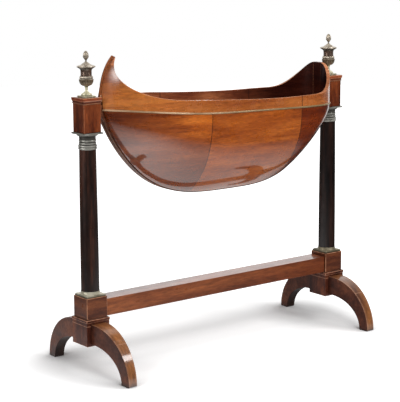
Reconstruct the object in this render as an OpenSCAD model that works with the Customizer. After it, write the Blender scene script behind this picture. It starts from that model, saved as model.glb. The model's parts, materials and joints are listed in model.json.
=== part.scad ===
// Boat-shaped cradle that swings between two columns on a trestle stand.
// Millimetres. +Z is up, X runs along the cradle, the prow points to -X.
// The origin lies on the floor, midway between the two posts.

/* [Stand] */
// Distance between the axes of the two posts
post_spacing = 1147.5; // [1080:0.5:1260]
// Side of the square hub that the legs are fixed to
hub_side = 97; // [88:1:110]
// Underside of the hub above the floor
hub_bottom = 105; // [80:1:125]
// Top of the hub, under its ledge
hub_top = 193; // [188:1:215]
// Thickness of the ledge on top of the hub
ledge_thick = 9.5; // [5:0.5:14]
// How far the ledge stands out from the hub on each side
ledge_overhang = 1.5; // [0.5:0.5:4]
// Side of the square plinth under each column
plinth_side = 87; // [84:1:92]
// Height of the plinth
plinth_height = 78; // [70:1:100]

/* [Legs] */
// Outer face of a foot from the centre line of the stand
foot_reach = 261; // [220:1:320]
// Depth of a foot on the floor, along the leg
foot_depth = 43; // [34:1:60]
// Width of a foot on the floor
foot_width = 35; // [28:1:50]
// Width of a leg where it meets the hub
leg_root_width = 63; // [50:1:75]
// Top of a leg where it meets the hub
leg_top = 186; // [175:1:188]
// Depth of a leg where it meets the hub
leg_root_depth = 73; // [60:1:80]
// Straight stretch of a leg before its arch begins
leg_straight = 13.5; // [8:0.5:20]
// Easing of the edges of blocks and feet
edge_ease = 1.5; // [0.5:0.1:2.5]

/* [Columns] */
// Diameter of a column just above its base
column_foot_dia = 66.5; // [60:0.5:72]
// Diameter of a column just below its capital
column_neck_dia = 60.4; // [54:0.5:64]
// Visible height of a column
column_height = 513; // [460:1:600]
// Power of the curve by which a column narrows upwards
column_entasis = 1.7; // [1:0.1:2.5]
// Diameter of the tenon at each end of a column
tenon_dia = 26; // [20:1:32]
// Depth of a tenon in the block that holds it
tenon_depth = 38; // [25:1:60]
// Height of the brass base under a column
base_height = 19; // [15:0.5:26]
// Side of the square plate of that base
base_plate_side = 80; // [76:1:84]
// Thickness of that plate
base_plate_thick = 9; // [6:0.5:11]
// Height of the brass capital, without its plate
capital_height = 55; // [48:1:64]
// Side of the square plate on the capital
capital_plate_side = 81.4; // [76:0.2:90]
// Thickness of that plate
capital_plate_thick = 5.5; // [3:0.5:9]

/* [Pivot blocks] */
// Side of the square block that carries a pivot
block_side = 71.6; // [66:0.2:76]
// Height of the block, without its cap
block_height = 102; // [90:1:125]
// Height of the pivots above the bottom of their blocks
pivot_rise = 72; // [60:1:80]
// Side of the board that caps the block
cap_side = 78.7; // [77:0.1:86]
// Thickness of the cap with the mouldings under it
cap_thick = 22; // [18:1:28]

/* [Urns] */
// Side of the square base of an urn
urn_base_side = 46.7; // [36:0.1:56]
// Height of the urn's foot, from the cap to the bowl
urn_foot_height = 39; // [36:1:50]
// Height of the urn's body, from its bowl to its lip
urn_body_height = 70; // [60:1:85]
// Height of the lid with its finial
urn_lid_height = 54; // [45:1:65]
// Greatest diameter of the bowl
urn_bowl_dia = 51.8; // [44:0.2:58]
// Diameter of the lip
urn_lip_dia = 66.6; // [56:0.2:74]
// Diameter of the bud on the lid
urn_bud_dia = 21.8; // [16:0.2:28]

/* [Stretcher] */
// Height of the stretcher's section
stretcher_height = 63; // [50:1:68]
// Thickness of the stretcher's section
stretcher_thick = 74.8; // [60:0.2:80]
// Height of the stretcher above the bottom of the plinths
stretcher_rise = 2; // [0:0.5:8]
// Length of the tenon at each end of the stretcher
stretcher_tenon = 22; // [14:1:26]

/* [Hull] */
// Clear gap between a pivot seat on the hull and its post
end_gap = 8; // [7:0.5:12]
// Greatest breadth of the hull
beam = 336; // [280:1:400]
// Thickness of the hull's wall
wall = 13; // [9:0.5:16]
// Bead amidships, below the pivots
bead_below_pivot = 30.5; // [26:0.5:36]
// Depth of the hull below the bead amidships
hull_depth = 310; // [280:1:350]
// Lowest point of the keel, towards the stern from amidships
keel_ahead = 51; // [30:1:80]
// Fall of the bead from amidships to each end
sheer_drop = 14; // [8:1:20]
// Extra rise of the bead towards the prow
prow_lift = 20; // [12:1:26]
// Rim at its lowest, near the stern, above the bead amidships
rim_above_bead = 34.5; // [28:0.5:44]
// Rise of the rim towards the prow, before the horn begins
rim_sheer = 23; // [12:1:32]
// Top of the horn at the prow, above the bead amidships
horn_rise = 220.5; // [180:0.5:260]
// Tip of the horn, back from the stem
horn_lean = 59; // [45:1:70]
// Length of rim that the horn sweeps up from
horn_sweep = 320; // [280:1:360]
// Rise of the rim at the stern
stern_rise = 103; // [70:1:130]

/* [Keel band and bead] */
// Width of the band along the keel
band_width = 41; // [32:1:48]
// Width of that band up the horn
horn_band_width = 10; // [8:0.5:14]
// How far the band stands out from the hull
band_proud = 4; // [2:0.5:6]
// Width of the groove on each side of the band
groove_width = 4; // [2:0.5:6]
// Depth of that groove
groove_depth = 2.5; // [1:0.5:4]
// Height of the brass bead's section
bead_width = 5; // [3:0.5:8]
// How far the bead stands out
bead_proud = 2.5; // [1.5:0.5:4]

/* [Pivots] */
// Diameter of a pivot pin
pin_dia = 14; // [10:1:16]
// Running clearance round the pin, on the radius
pin_clearance = 0.06; // [0.03:0.01:0.09]
// Length of the pin inside the bush
pin_reach = 30; // [20:1:34]
// Wall of the bush
bush_wall = 5; // [3:0.5:6]
// Diameter of the plate that fixes a pin to the hull
pivot_plate_dia = 34; // [30:1:38]
// Thickness of that plate
pivot_plate_thick = 3; // [2:0.5:4]

/* [Hidden] */
// Gap left at every glued joint, and around tenons
seat_gap = 0.25;
// Powers of the superellipses of the hull's plan at its two ends, of its keel, and of its
// cross-sections by depth and breadth
plan_prow = [4.5, 1];
plan_stern = [6.06, 1.81];
keel_power = [3.32, 1.18];
section_mid = [2.5, 1.14];
section_prow = [1.83, 1.01];
section_stern = [1.99, 0.94];
section_fade = 2.05;
// The wall is cut at a slant by the stem, so it is thicker there by this factor.
stem_slant = 1.3;
// Number of strips that each stretch of the hull is built from
bow_strips = 22;
waist_strips = 12;
stern_strips = 16;
panel_rows = 13;
gunwale_rows = 10;
facets = 48;

post_x = post_spacing / 2;
post_inner = post_x - block_side / 2;
plinth_bottom = hub_top + ledge_thick;
plinth_top = plinth_bottom + plinth_height;
column_bottom = plinth_top + base_height;
column_top = column_bottom + column_height;
capital_top = column_top + capital_height;
block_bottom = capital_top + capital_plate_thick;
block_top = block_bottom + block_height;
cap_top = block_top + cap_thick;
urn_bowl_bottom = cap_top + urn_foot_height;
urn_lip_top = urn_bowl_bottom + urn_body_height;

// The cradle hangs from the pivots, so its heights follow theirs.
pivot_height = block_bottom + pivot_rise;
bead_height = pivot_height - bead_below_pivot;
keel_height = bead_height - hull_depth;
rim_height = bead_height + rim_above_bead;
horn_height = bead_height + horn_rise;

// The hull ends a little inside its two pivot seats.
seat_x = post_inner - end_gap;
prow_set_back = 6;
stern_set_back = 1;
prow_x = -(seat_x - band_proud - prow_set_back);
stern_x = seat_x - band_proud - stern_set_back;
hull_mid = (prow_x + stern_x) / 2;
hull_half = (stern_x - prow_x) / 2;
keel_x = hull_mid + keel_ahead;
seam_bow = hull_mid - 0.277 * hull_half;
seam_stern = hull_mid + 0.552 * hull_half;
stern_start = hull_mid + 0.72 * hull_half;
sheer_end = hull_mid + 0.45 * hull_half;
horn_start = prow_x + horn_sweep;
horn_tip_x = prow_x + horn_lean;
band_half = band_width / 2;
panel_edge = band_half + seat_gap;

// ---------------------------------------------------------------- helpers

function clamp(v, low, high) = min(max(v, low), high);

// Points of an elliptical arc in a profile, from angle a to angle b
function arc(centre, rx, ry, a, b, steps = 8) =
    [for (k = [0:steps]) let (t = a + (b - a) * k / steps)
        [centre[0] + rx * cos(t), centre[1] + ry * sin(t)]];

// Point of a curve guided by the points of p, for t from 0 to 1
function curve(p, t) = len(p) == 1 ? p[0] :
    curve([for (k = [0:len(p) - 2]) p[k] * (1 - t) + p[k + 1] * t], t);

module square_board(side, bottom, thick) {
    translate([-side / 2, -side / 2, bottom]) cube([side, side, thick]);
}

// A square block whose edges are planed off by edge_ease
module eased_block(side, bottom, height) {
    h = side / 2;
    c = edge_ease;
    top = bottom + height;
    intersection() {
        translate([0, 0, bottom - 1]) linear_extrude(height + 2) polygon([
            [-h, c - h], [c - h, -h], [h - c, -h], [h, c - h],
            [h, h - c], [h - c, h], [c - h, h], [-h, h - c]]);
        square_moulding([[h - c, bottom], [h, bottom + c], [h, top - c], [h - c, top]], side);
    }
}

// A moulding that runs round a square, mitred at the corners. The profile is a list of
// half widths and heights, from the bottom up, and no half width is over side / 2.
module square_moulding(profile, side) {
    n = len(profile);
    outline = concat(profile, [for (k = [n - 1:-1:0]) [-profile[k][0], profile[k][1]]]);
    intersection() {
        translate([0, side / 2 + 1, 0]) rotate([90, 0, 0]) linear_extrude(side + 2) polygon(outline);
        translate([-side / 2 - 1, 0, 0]) rotate([90, 0, 90]) linear_extrude(side + 2) polygon(outline);
    }
}

module turned(profile) {
    rotate_extrude($fn = facets) polygon(profile);
}

module at_post(side) {
    translate([side * post_x, 0, 0]) children();
}

// ---------------------------------------------------------------- stand

module hub(side) {
    ledge_side = hub_side + 2 * ledge_overhang;
    color("saddlebrown") at_post(side) {
        eased_block(hub_side, hub_bottom, hub_top - hub_bottom + 2 * edge_ease);
        eased_block(ledge_side, hub_top, ledge_thick);
    }
}

// Outline of a leg seen from the end of the stand: two quarter ellipses
function leg_outline() =
    let (arch_y = hub_side / 2 + leg_straight,
         reach = foot_reach - arch_y,
         inside = leg_top - leg_root_depth,
         ease = 2 * edge_ease)
    concat([[hub_side / 2, inside], [hub_side / 2, leg_top]],
        arc([arch_y, ease], reach, leg_top - ease, 90, 0, 18),
        [[foot_reach - ease, 0], [foot_reach - foot_depth + ease, 0]],
        arc([arch_y, ease], reach - foot_depth, inside - ease, 0, 90, 14));

// side is -1 for the left post, way is -1 for the front of the stand
module leg(side, way) {
    color("sienna") at_post(side) mirror([0, way < 0 ? 1 : 0, 0])
        intersection() {
            translate([-leg_root_width / 2, 0, 0]) rotate([90, 0, 90])
                linear_extrude(leg_root_width) polygon(leg_outline());
            linear_extrude(leg_top + 1) polygon([
                [-leg_root_width / 2, hub_side / 2], [leg_root_width / 2, hub_side / 2],
                [foot_width / 2, foot_reach], [-foot_width / 2, foot_reach]]);
        }
}

// Section of the stretcher's tenon, and the same cut in the plinth
module stretcher_tenons(length, grow) {
    height = stretcher_height / 2 + 2 * grow;
    thick = stretcher_thick / 2 + 2 * grow;
    translate([-length / 2, -thick / 2, plinth_bottom + stretcher_rise
        + (stretcher_height - height) / 2]) cube([length, thick, height]);
}

module plinth(side) {
    color("saddlebrown") difference() {
        at_post(side) eased_block(plinth_side, plinth_bottom, plinth_height);
        at_post(side) translate([0, 0, plinth_top - tenon_depth])
            cylinder(d = tenon_dia, h = tenon_depth + 1, $fn = facets);
        stretcher_tenons(post_spacing - plinth_side + 2 * stretcher_tenon + 2, seat_gap);
    }
}

module stretcher() {
    length = post_spacing - plinth_side;
    color("sienna") {
        translate([-length / 2, -stretcher_thick / 2, plinth_bottom + stretcher_rise])
            cube([length, stretcher_thick, stretcher_height]);
        stretcher_tenons(length + 2 * stretcher_tenon, 0);
    }
}

module column(side) {
    foot_r = column_foot_dia / 2;
    neck_r = column_neck_dia / 2;
    bore_r = tenon_dia / 2 - seat_gap;
    color([0.17, 0.11, 0.09]) at_post(side) turned(concat(
        [[0, plinth_top - tenon_depth + 1], [bore_r, plinth_top - tenon_depth + 1],
         [bore_r, column_bottom]],
        [for (k = [0:12]) let (t = k / 12)
            [foot_r + (neck_r - foot_r) * pow(t, column_entasis), column_bottom + column_height * t]],
        [[bore_r, column_top], [bore_r, block_bottom + tenon_depth - 1],
         [0, block_bottom + tenon_depth - 1]]));
}

// The brass base: a square plate with a hollow moulding that runs up to the column
module column_base(side) {
    foot_r = column_foot_dia / 2;
    plate_top = plinth_top + base_plate_thick;
    half = base_plate_side / 2;
    hollow = base_height - base_plate_thick - 2;
    wide_r = min(foot_r + 5.5, half - 0.5);
    color([0.6, 0.6, 0.52]) at_post(side) difference() {
        union() {
            square_moulding([[half, plinth_top], [half, plate_top - 4], [half - 4, plate_top]],
                base_plate_side);
            turned(concat(
                [[0, plate_top - 1], [wide_r, plate_top - 1], [wide_r, plate_top]],
                arc([wide_r, plate_top + hollow], wide_r - foot_r - 0.8, hollow, 270, 180, 8),
                [[foot_r + 0.8, column_bottom], [0, column_bottom]]));
        }
        translate([0, 0, plinth_top - 1])
            cylinder(d = tenon_dia, h = base_height + 2, $fn = facets);
    }
}

// The brass capital: torus, two rings, a neck and a square plate
module capital(side) {
    neck_r = column_neck_dia / 2;
    h = capital_height;
    torus = 0.3 * h;
    ring = 0.12 * h;
    z = column_top;
    color([0.62, 0.63, 0.57]) at_post(side) difference() {
        union() {
            square_board(capital_plate_side, capital_top, capital_plate_thick);
            turned(concat(
                [[0, z]],
                arc([neck_r, z + torus * 0.27], 3.2, torus * 0.27, -90, 90, 6),
                arc([neck_r, z + torus * 0.77], 3.4, torus * 0.23, -90, 90, 6),
                [[neck_r - 1.4, z + torus], [neck_r - 1.4, z + torus + 2]],
                arc([neck_r - 0.6, z + torus + 2 + ring / 2], 1.8, ring / 2, -90, 90, 6),
                [[neck_r - 1.4, z + torus + ring + 2], [neck_r - 1.4, z + torus + ring + 5]],
                arc([neck_r - 0.6, z + torus + ring + 5 + ring / 2], 1.6, ring / 2, -90, 90, 6),
                [[neck_r - 0.4, z + 0.86 * h]],
                arc([neck_r - 0.4, z + h], capital_plate_side / 2 - neck_r - 2, 0.14 * h, -90, 0, 6),
                [[0, z + h]]));
        }
        translate([0, 0, z - 1])
            cylinder(d = tenon_dia, h = h + capital_plate_thick + 2, $fn = facets);
    }
}

bush_dia = pin_dia + 2 * pin_clearance + 2 * bush_wall;
bush_length = pin_reach + 4;
collar_thick = 2;

module along_x(side, x, dia, length) {
    translate([side > 0 ? x : -x, 0, pivot_height]) rotate([0, 90 * side, 0])
        cylinder(d = dia, h = length, $fn = facets);
}

module pivot_block(side) {
    color("saddlebrown") difference() {
        at_post(side) eased_block(block_side, block_bottom, block_height);
        along_x(side, post_inner - 1, bush_dia, bush_length + 1);
        at_post(side) translate([0, 0, block_bottom - 1])
            cylinder(d = tenon_dia, h = tenon_depth + 1, $fn = facets);
    }
}

module pivot_bush(side) {
    color("darkgoldenrod") difference() {
        union() {
            along_x(side, post_inner, bush_dia - 0.04, bush_length);
            along_x(side, post_inner - collar_thick, bush_dia + 8, collar_thick);
        }
        along_x(side, post_inner - collar_thick - 1, pin_dia + 2 * pin_clearance,
            bush_length + collar_thick + 2);
    }
}

// The cap: a fillet, a hollow and a board with a rounded edge
module block_cap(side) {
    half = cap_side / 2;
    bead_half = (block_side / 2 + half) / 2 - 0.3;
    board = cap_top - 0.52 * cap_thick;
    color("sienna") at_post(side) square_moulding([
        [block_side / 2, block_top], [bead_half, block_top + 1], [bead_half, block_top + 3],
        [block_side / 2 + 0.4, block_top + 4], [block_side / 2 + 0.8, board - 3],
        [half - 1.6, board], [half - 0.4, board + 2.5], [half, cap_top - 3],
        [half, cap_top - 1], [half - 1, cap_top]], cap_side);
}

// ---------------------------------------------------------------- urns

module urn_foot(side) {
    plate = 6;
    stem_r = 5.6;
    round_r = 19.3;
    shoulder = cap_top + plate + 7.5;
    top = urn_bowl_bottom;
    color([0.56, 0.53, 0.38]) at_post(side) {
        square_board(urn_base_side, cap_top, plate);
        turned(concat(
            [[0, cap_top + plate - 1], [round_r, cap_top + plate - 1], [round_r, shoulder - 3]],
            arc([round_r - 3, shoulder - 3], 3, 3, 20, 70, 3),
            [[round_r - 5, shoulder + 1.5], [round_r - 10.5, shoulder + 5]],
            arc([round_r - 11, shoulder + 13], round_r - 11 - stem_r, 7, 260, 180, 5),
            [[stem_r, top - 5], [stem_r + 1.4, top - 3], [stem_r + 1.4, top - 1.5],
             [stem_r + 0.6, top], [0, top]]));
    }
}

module urn_body(side) {
    bowl_r = urn_bowl_dia / 2;
    neck_r = 19.6;
    lip_r = urn_lip_dia / 2;
    bottom = urn_bowl_bottom;
    bowl_top = bottom + 0.33 * urn_body_height;
    ring_top = bowl_top + 0.17 * urn_body_height;
    flare = 0.17 * urn_body_height;
    color([0.47, 0.42, 0.33]) at_post(side) turned(concat(
        [[0, bottom], [6.5, bottom]],
        arc([6.5, bowl_top - 2], bowl_r - 7, bowl_top - 2 - bottom, -80, 0, 9),
        [[bowl_r, bowl_top - 1], [bowl_r, bowl_top + 1], [bowl_r - 0.8, bowl_top + 2],
         [bowl_r - 2.6, bowl_top + 3]],
        arc([bowl_r - 4, (bowl_top + 3 + ring_top) / 2], 2, (ring_top - bowl_top - 3) / 2,
            -80, 80, 6),
        [[neck_r + 1.6, ring_top + 0.8], [neck_r, ring_top + 3], [neck_r, urn_lip_top - flare - 5],
         [neck_r + 0.6, urn_lip_top - flare - 1], [neck_r + 2.6, urn_lip_top - 0.8 * flare],
         [neck_r + 7, urn_lip_top - 0.55 * flare], [lip_r - 0.8, urn_lip_top - 0.26 * flare],
         [lip_r, urn_lip_top - 0.16 * flare], [lip_r, urn_lip_top - 0.8],
         [lip_r - 0.8, urn_lip_top], [0, urn_lip_top]]));
}

// The lid: a low cone, and a bud that rises from a pointed cup
module urn_lid(side) {
    lip_r = urn_lip_dia / 2;
    bud_r = urn_bud_dia / 2;
    z = urn_lip_top;
    waist = z + 0.35 * urn_lid_height;
    bud = urn_lid_height - 0.35 * urn_lid_height;
    color([0.66, 0.62, 0.54]) at_post(side) turned([
        [0, z], [lip_r - 1.5, z], [lip_r - 2, z + 1.2], [lip_r - 9, z + 3.2],
        [lip_r - 14.5, z + 4.6], [lip_r - 16, z + 6], [lip_r - 20, z + 9],
        [lip_r - 25.5, z + 13], [3.6, waist - 2.5], [2.1, waist],
        [6.2, waist + 0.19 * bud], [8.8, waist + 0.29 * bud], [bud_r - 0.3, waist + 0.4 * bud],
        [bud_r, waist + 0.47 * bud], [bud_r - 0.9, waist + 0.56 * bud],
        [bud_r - 1.6, waist + 0.66 * bud], [bud_r - 2.9, waist + 0.79 * bud],
        [bud_r - 4.8, waist + 0.9 * bud], [bud_r - 7.4, waist + 0.97 * bud],
        [0, waist + bud]]);
}

// ---------------------------------------------------------------- hull

// Fraction of the way from amidships to an end, -1 at the prow and 1 at the stern
function along(x) = clamp((x - hull_mid) / hull_half, -1, 1);

// Height of the bead line
function bead_z(x) = let (s = along(x))
    bead_height - sheer_drop * s + (s < 0 ? prow_lift * pow(sin(-90 * s), 3) : 0);

// The two ends of the hull's surface. inset is 0 outside and the wall's thickness inside.
function prow_end(inset) = prow_x + stem_slant * inset;
function stern_end(inset) = stern_x - inset;

// Half breadth at the bead, which is the band's own at the two ends
function half_beam(x, inset) =
    let (prow = x < hull_mid, end = prow ? prow_end(inset) : stern_end(inset),
         power = prow ? plan_prow : plan_stern, s = abs((x - hull_mid) / (end - hull_mid)))
    panel_edge + (beam / 2 - inset - panel_edge) * pow(max(0, 1 - pow(s, power[0])), 1 / power[1]);

// Profile of the keel, at the edges of its band
function keel_z(x, inset) =
    let (end = x < keel_x ? prow_end(inset) : stern_end(inset),
         top = bead_z(end),
         r = min(1, abs(x - keel_x) / abs(end - keel_x)))
    top - (top - keel_height - inset) * pow(1 - pow(r, keel_power[0]), 1 / keel_power[1]);

// Powers of the cross-section at x: full amidships, lean at the ends
function section_power(x) = let (s = along(x), k = pow(abs(s), section_fade))
    section_mid * (1 - k) + (s < 0 ? section_prow : section_stern) * k;

// Point of the lower hull at x and at a depth from 0 at the bead to 1 at the band
function hull_point(x, depth, inset) =
    let (p = section_power(x), top = bead_z(x))
    [x, -panel_edge - (half_beam(x, inset) - panel_edge) * pow(max(0, 1 - pow(depth, p[0])), 1 / p[1]),
        top - depth * (top - keel_z(x, inset))];

// Stations along the hull, closer together towards its ends
stern_angle = asin((seam_stern - hull_mid) / hull_half);
bow_stations = [for (k = [0:bow_strips]) prow_x + (seam_bow - prow_x) * pow(k / bow_strips, 1.4)];
waist_stations = [for (k = [0:waist_strips]) seam_bow + (seam_stern - seam_bow) * k / waist_strips];
stern_stations = [for (k = [0:stern_strips])
    hull_mid + hull_half * sin(stern_angle + (90 - stern_angle) * k / stern_strips)];

// The station inside the wall that belongs to station x outside it
function inner_x(x) =
    let (to_prow = max(0, (seam_bow - x) / (seam_bow - prow_x)),
         to_stern = max(0, (x - seam_stern) / (stern_x - seam_stern)))
    x + stem_slant * wall * pow(to_prow, 3) - wall * pow(to_stern, 3);

// One column of points of the lower hull, from the bead down to the edge of the band
function panel_column(x, inset) =
    [for (k = [0:panel_rows]) hull_point(x, 1 - pow(1 - k / panel_rows, 1.6), inset)];

// Closes the space between an outer and an inner sheet of points. A sheet is a list of
// columns. tips says whether the first and the last column have shrunk to one point.
module shell(outer, inner, tips = [false, false]) {
    n = len(outer) - 1;
    m = len(outer[0]) - 1;
    loop = 2 * (m + 1);
    points = [for (i = [0:n]) for (k = [0:loop - 1]) k <= m ? outer[i][k] : inner[i][loop - 1 - k]];
    // A column that has shrunk keeps one point outside and one inside.
    function id(i, k) = let (j = k % loop)
        (i == 0 && tips[0]) || (i == n && tips[1]) ? i * loop + (j <= m ? 0 : loop - 1)
            : i * loop + j;
    function whole(f) = f[0] != f[1] && f[1] != f[2] && f[2] != f[0];
    skin = [for (i = [0:n - 1]) for (k = [0:loop - 1])
        for (f = [[id(i, k), id(i + 1, k), id(i, k + 1)],
                  [id(i, k + 1), id(i + 1, k), id(i + 1, k + 1)]])
            if (whole(f)) f];
    caps = [for (k = [0:m - 1]) for (f = concat(
        tips[0] ? [] : [[id(0, k), id(0, k + 1), id(0, loop - 1 - k)],
                        [id(0, k + 1), id(0, loop - 2 - k), id(0, loop - 1 - k)]],
        tips[1] ? [] : [[id(n, k), id(n, loop - 1 - k), id(n, k + 1)],
                        [id(n, k + 1), id(n, loop - 1 - k), id(n, loop - 2 - k)]])) f];
    polyhedron(points, concat(skin, caps));
}

// One panel of the lower hull, on the front side
module panel(stations, tips, gaps) {
    n = len(stations) - 1;
    cut = [for (i = [0:n]) stations[i] + (i == 0 ? gaps[0] : i == n ? -gaps[1] : 0)];
    color([0.55, 0.27, 0.1]) shell(
        [for (x = cut) panel_column(x, 0)],
        [for (i = [0:n]) panel_column(inner_x(cut[i]), wall)], tips);
}

module bow_panel() {
    panel(bow_stations, [true, false], [0, seat_gap / 2]);
}

module waist_panel() {
    panel(waist_stations, [false, false], [seat_gap / 2, seat_gap / 2]);
}

module stern_panel() {
    panel(stern_stations, [false, true], [seat_gap / 2, 0]);
}

// ---------------------------------------------------------------- gunwale and horn

// The pad that a pivot plate sits on is flat over this half height
pad_half = pivot_plate_dia / 2 + 3;

// Half width of the band at height z: above the pivot's pad it narrows, up the horn
function band_half_at(x, z) =
    let (t = clamp((z - pivot_height - pad_half) / (2.4 * pad_half), 0, 1))
    x > hull_mid ? band_half
        : band_half + (horn_band_width / 2 - band_half) * t * t * (3 - 2 * t);

// Height of the rim away from the horn
function rim_plain(x) =
    rim_height + rim_sheer * pow(max(0, (sheer_end - x) / (sheer_end - horn_start)), 1.5)
        + stern_rise * pow(max(0, (x - stern_start) / (stern_x - stern_start)), 2.8);

// Points that guide the rim from the straight side up to the inner corner of the horn
horn_foot = rim_plain(horn_start);
horn_guide = [[horn_start, half_beam(horn_start, 0), horn_foot],
    [horn_start - 0.7 * horn_sweep, 0.9 * half_beam(horn_start, 0),
        horn_foot + 0.02 * (horn_height - horn_foot)],
    [prow_x - 2, 0.12 * beam, horn_foot + 0.43 * (horn_height - horn_foot)],
    [horn_tip_x + 0.5 * wall, horn_band_width / 2 + 4, horn_height - 4]];

// How far x is along the horn, from 0 where it starts to 1 at its tip
function horn_t(x) =
    let (last = pow((bow_stations[1] - prow_x) / horn_sweep, 0.6))
    clamp((1 - pow(clamp((x - prow_x) / horn_sweep, 0, 1), 0.6)) / (1 - last), 0, 1);

// Point of the rim that belongs to station x of the bead
function rim_point(x) =
    x <= prow_x ? [horn_tip_x, panel_edge, horn_height] :
    x < horn_start ? curve(horn_guide, horn_t(x)) :
    [x, half_beam(x, 0), rim_plain(x)];

// The same on the inner face of the wall
function rim_inner(x) =
    let (r = rim_point(x), t = horn_t(x), inside = inner_x(x),
         lean = wall * 0.75 * sin(180 * min(1, t * 1.1)))
    x <= prow_x ? curve(horn_guide, 1) :
    x < horn_start ? [r[0] + lean, max(r[1] - wall * (1 - 0.35 * t), 0), r[2]] :
    [inside, half_beam(inside, wall), r[2]];

// One column of the gunwale, from the bead up to the rim
function gunwale_column(x, inset) =
    let (at = inset > 0 ? inner_x(x) : x,
         foot = [at, half_beam(at, inset), bead_z(x) + seat_gap],
         top = inset > 0 ? rim_inner(x) : rim_point(x),
         stem = x <= prow_x || x > stern_x - 0.01,
         flare = pow(horn_t(x), 3),
         knee = [foot[0], foot[1] * (1 - flare) + top[1] * flare,
             foot[2] + (0.52 + 0.18 * flare) * (top[2] - foot[2])])
    [for (k = [0:gunwale_rows])
        let (p = curve([foot, knee, top], k / gunwale_rows),
             edge = band_half_at(x, p[2]) + seat_gap)
        [p[0], -(stem ? edge : max(p[1], edge)), p[2]]];

module gunwale_run(stations, gaps) {
    n = len(stations) - 1;
    cut = [for (i = [0:n]) stations[i] + (i == 0 ? gaps[0] : i == n ? -gaps[1] : 0)];
    color([0.7, 0.4, 0.17]) shell(
        [for (i = [n:-1:0]) gunwale_column(cut[i], 0)],
        [for (i = [n:-1:0]) gunwale_column(cut[i], wall)]);
}

module gunwale() {
    gunwale_run(concat(bow_stations, [for (i = [1:waist_strips]) waist_stations[i]]),
        [0, seat_gap / 2]);
}

module stern_gunwale() {
    gunwale_run(stern_stations, [seat_gap / 2, 0]);
}

// ---------------------------------------------------------------- bead

// The half-round brass bead that covers the joint between panels and gunwale
module bead() {
    n = len(band_stations) - 1;
    line = [for (x = band_stations) [x, -half_beam(x, 0), bead_z(x)]];
    // Outward direction in plan at each station
    out = [for (i = [0:n]) let (a = line[max(0, i - 1)], b = line[min(n, i + 1)], d = b - a)
        [d[1], -d[0], 0] / norm([d[0], d[1]])];
    outline = [for (k = [0:4]) let (t = -90 + 45 * k)
        [seat_gap + bead_proud * cos(t), bead_width / 2 * sin(t)]];
    color([0.68, 0.62, 0.42]) shell(
        [for (i = [0:n]) [for (q = outline) line[i] + out[i] * q[0] + [0, 0, -q[1]]]],
        [for (i = [0:n]) [for (q = outline) line[i] + out[i] * seat_gap * 0.9 + [0, 0, -q[1]]]]);
}

// ---------------------------------------------------------------- keel band

// The band's edge lines: [outside point, inside point], at row k of the gunwale up the stem,
// along the keel, and at the fraction t of the height of the stern
function stem_edge(k) = [gunwale_column(prow_x, 0)[k], gunwale_column(prow_x, wall)[k]];

function stern_edge(t) =
    let (foot = gunwale_column(stern_x, 0), foot_in = gunwale_column(stern_x, wall))
    [foot[0] * (1 - t) + foot[gunwale_rows] * t, foot_in[0] * (1 - t) + foot_in[gunwale_rows] * t];

function keel_edge(x) = [panel_column(x, 0)[panel_rows], panel_column(inner_x(x), wall)[panel_rows]];

// Stations of the band along the keel
band_stations = concat(bow_stations, [for (k = [1:waist_strips]) waist_stations[k]],
    [for (k = [1:stern_strips]) stern_stations[k]]);

band_edges = concat(
    [for (k = [gunwale_rows:-1:1]) stem_edge(k)],
    [for (x = band_stations) keel_edge(x)],
    [for (k = [1:6]) stern_edge(k / 6)]);

module keel_band() {
    rings = [for (e = band_edges)
        let (o = e[0], q = e[1], away = [o[0] - q[0], o[2] - q[2]] / norm([o[0] - q[0], o[2] - q[2]]),
             half = band_half_at(o[0], o[2]), half_in = band_half_at(q[0], q[2]),
             at = function (n) [o[0] + away[0] * n, o[2] + away[1] * n],
             floor_pt = at(-groove_depth), face = at(band_proud),
             seated = abs(face[1] - pivot_height) < pad_half,
             face_x = !seated ? face[0] : face[0] < 0 ? min(face[0], -seat_x) : seat_x,
             neck = half - min(groove_width, 0.35 * half))
        [[q[0], -half_in, q[2]], [floor_pt[0], -half, floor_pt[1]],
         [floor_pt[0], -neck, floor_pt[1]], [face_x, -neck, face[1]],
         [face_x, neck, face[1]], [floor_pt[0], neck, floor_pt[1]],
         [floor_pt[0], half, floor_pt[1]], [q[0], half_in, q[2]]]];
    n = len(rings) - 1;
    faces = concat(
        [for (i = [0:n - 1]) for (k = [0:7]) for (f = [
            [i * 8 + k, i * 8 + 8 + k, i * 8 + (k + 1) % 8],
            [i * 8 + (k + 1) % 8, i * 8 + 8 + k, i * 8 + 8 + (k + 1) % 8]]) f],
        [[for (k = [0:7]) k]],
        [[for (k = [7:-1:0]) n * 8 + k]]);
    color([0.42, 0.22, 0.12]) polyhedron([for (r = rings) for (p = r) p], faces);
}

// ---------------------------------------------------------------- pivots

module pivot_pin(side) {
    color("dimgray") {
        along_x(side, seat_x, pivot_plate_dia, pivot_plate_thick);
        along_x(side, seat_x + pivot_plate_thick - 0.5, pin_dia,
            post_inner + pin_reach - seat_x - pivot_plate_thick + 0.5);
    }
}

// ---------------------------------------------------------------- nodes

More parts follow.
